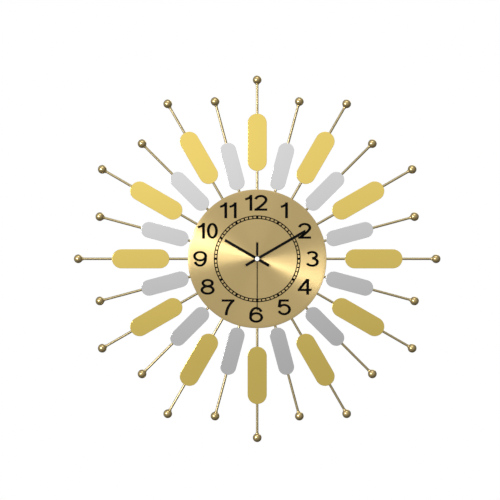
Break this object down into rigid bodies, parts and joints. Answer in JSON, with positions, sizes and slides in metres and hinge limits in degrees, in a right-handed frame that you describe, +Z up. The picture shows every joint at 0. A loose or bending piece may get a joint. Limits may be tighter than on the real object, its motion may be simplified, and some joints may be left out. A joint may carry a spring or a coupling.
{
  "type": "sunburst wall clock",
  "caption": "Round metal wall clock with a spun dial, baton hands and straight rays that end in balls, each ray with a mirror plate; quartz movement behind.",
  "frame": {"origin": "on the axis of the hands, in the plane of the wall, at the rear face of the movement's cover", "axes": "+Z up to twelve o'clock, +Y into the wall, so the dial faces -Y; +X to three o'clock"},
  "size_m": [0.65, 0.0294, 0.65],
  "materials": {
    "gold_metal": "polished gold plating, mirror bright",
    "silver_mirror": "polished silver mirror",
    "spun_gold": "circular spun champagne gold, satin",
    "brass": "turned brass",
    "rubber": "matt black",
    "black_plastic": "fine moulded texture",
    "white_plastic": "smooth acetal",
    "steel": "bright",
    "copper_wire": "enamelled copper winding",
    "circuit_board": "green solder mask",
    "battery_jacket": "gloss jacket, plain, without a name",
    "black_paint": "satin black paint"
  },
  "bodies": {
    "frame": {"long_ray_01": "gold_metal", "long_ray_02": "gold_metal", "long_ray_03": "gold_metal", "long_ray_04": "gold_metal", "long_ray_05": "gold_metal", "long_ray_06": "gold_metal", "long_ray_07": "gold_metal", "long_ray_08": "gold_metal", "long_ray_09": "gold_metal", "long_ray_10": "gold_metal", "long_ray_11": "gold_metal", "long_ray_12": "gold_metal", "short_ray_01": "gold_metal", "short_ray_02": "gold_metal", "short_ray_03": "gold_metal", "short_ray_04": "gold_metal", "short_ray_05": "gold_metal", "short_ray_06": "gold_metal", "short_ray_07": "gold_metal", "short_ray_08": "gold_metal", "short_ray_09": "gold_metal", "short_ray_10": "gold_metal", "short_ray_11": "gold_metal", "short_ray_12": "gold_metal", "silver_plate_01": "silver_mirror", "silver_plate_02": "silver_mirror", "silver_plate_03": "silver_mirror", "silver_plate_04": "silver_mirror", "silver_plate_05": "silver_mirror", "silver_plate_06": "silver_mirror", "silver_plate_07": "silver_mirror", "silver_plate_08": "silver_mirror", "silver_plate_09": "silver_mirror", "silver_plate_10": "silver_mirror", "silver_plate_11": "silver_mirror", "silver_plate_12": "silver_mirror", "back_plate": "gold_metal", "dial_plate": "spun_gold", "hex_nut": "brass", "rubber_gasket": "rubber", "movement_case": "black_plastic", "movement_cover": "black_plastic", "stator_plate": "steel", "drive_coil": "copper_wire", "circuit_board": "circuit_board", "quartz_crystal": "steel", "battery_contact_positive": "steel", "battery_contact_negative": "steel"},
    "second_train": {"second_wheel": "white_plastic", "second_hand": "black_paint"},
    "minute_train": {"centre_wheel": "brass", "minute_hand": "black_paint"},
    "hour_train": {"hour_wheel": "brass", "hour_hand": "black_paint"},
    "third_arbor": {"third_wheel": "white_plastic"},
    "intermediate_arbor": {"intermediate_wheel": "white_plastic"},
    "rotor": {"motor_rotor": "steel"},
    "motion_arbor": {"motion_wheel": "white_plastic"},
    "setting_knob": {"set_knob": "white_plastic"},
    "battery": {"aa_battery": "battery_jacket"}
  },
  "joints": [
    {"name": "second_hand_turn", "type": "hinge", "parent": "frame", "child": "second_train", "pos_m": [0, -0.02, 0], "axis": [0, 1, 0], "continuous": true},
    {"name": "minute_hand_turn", "type": "hinge", "parent": "frame", "child": "minute_train", "pos_m": [0, -0.02, 0], "axis": [0, 1, 0], "continuous": true},
    {"name": "hour_hand_turn", "type": "hinge", "parent": "frame", "child": "hour_train", "pos_m": [0, -0.02, 0], "axis": [0, 1, 0], "continuous": true},
    {"name": "third_wheel_turn", "type": "hinge", "parent": "frame", "child": "third_arbor", "pos_m": [0.00707, -0.012, 0.00707], "axis": [0, 1, 0], "continuous": true},
    {"name": "intermediate_wheel_turn", "type": "hinge", "parent": "frame", "child": "intermediate_arbor", "pos_m": [0.00886, -0.012, -0.00156], "axis": [0, 1, 0], "continuous": true},
    {"name": "rotor_turn", "type": "hinge", "parent": "frame", "child": "rotor", "pos_m": [0.01714, -0.012, -0.00302], "axis": [0, 1, 0], "continuous": true},
    {"name": "motion_wheel_turn", "type": "hinge", "parent": "frame", "child": "motion_arbor", "pos_m": [-0.00636, -0.012, 0.00636], "axis": [0, 1, 0], "continuous": true},
    {"name": "set_knob_turn", "type": "hinge", "parent": "frame", "child": "setting_knob", "pos_m": [-0.01086, -0.012, 0.01416], "axis": [0, 1, 0], "continuous": true},
    {"name": "battery_slide", "type": "slide", "parent": "frame", "child": "battery", "axis": [0, 1, 0], "range_m": [0, 0.03]}
  ],
  "couplings": [
    {"joint": "minute_hand_turn", "follows": "second_hand_turn", "ratio": 0.016667},
    {"joint": "hour_hand_turn", "follows": "second_hand_turn", "ratio": 0.0013889},
    {"joint": "third_wheel_turn", "follows": "second_hand_turn", "ratio": -0.13333},
    {"joint": "intermediate_wheel_turn", "follows": "second_hand_turn", "ratio": -5},
    {"joint": "rotor_turn", "follows": "second_hand_turn", "ratio": 30},
    {"joint": "motion_wheel_turn", "follows": "second_hand_turn", "ratio": -0.0055556},
    {"joint": "set_knob_turn", "follows": "second_hand_turn", "ratio": 0.016667}
  ]
}
